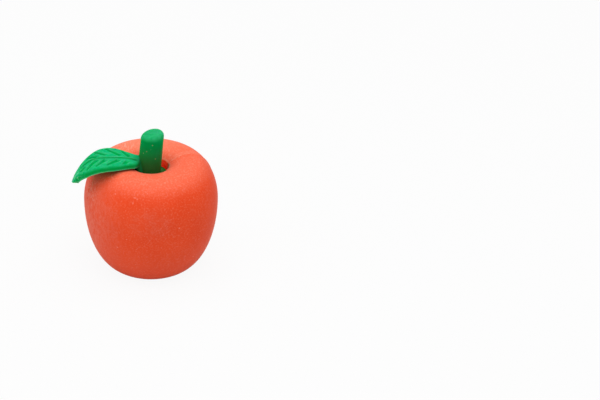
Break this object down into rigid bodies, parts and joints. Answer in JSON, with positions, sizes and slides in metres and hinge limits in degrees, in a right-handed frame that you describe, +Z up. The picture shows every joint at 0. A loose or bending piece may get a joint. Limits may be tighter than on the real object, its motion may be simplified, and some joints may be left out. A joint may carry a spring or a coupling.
{
  "type": "pencil eraser topper",
  "caption": "Apple-shaped rubber eraser for the end of a pencil: a round body in two halves round a pencil sleeve, with a leaning stem and a drooping leaf on a pull-out plug.",
  "frame": {"origin": "centre of the pencil bore's mouth, on the plane that the apple stands on", "axes": "+Z up along the apple's axis, the seam between the halves in the XZ plane, the front half toward -Y and the leaf toward -X"},
  "size_m": [0.0313, 0.028, 0.0311],
  "materials": {
    "body_rubber": "satin, slightly powdery",
    "sleeve_rubber": "matte",
    "stem_rubber": "satin",
    "leaf_rubber": "satin"
  },
  "bodies": {
    "rear": {"rear_half": "body_rubber"},
    "front": {"front_half": "body_rubber"},
    "core": {"pencil_sleeve": "sleeve_rubber"},
    "plug": {"stem": "stem_rubber", "leaf": "leaf_rubber"}
  },
  "joints": [
    {"name": "front_half_pull", "type": "slide", "parent": "rear", "child": "front", "axis": [0, -1, 0], "range_m": [0, 0.02]},
    {"name": "core_turn", "type": "hinge", "parent": "rear", "child": "core", "pos_m": [0, 0, 0], "axis": [0, 0, 1], "continuous": true},
    {"name": "plug_pull", "type": "slide", "parent": "core", "child": "plug", "axis": [0, 0, 1], "range_m": [0, 0.014]}
  ]
}
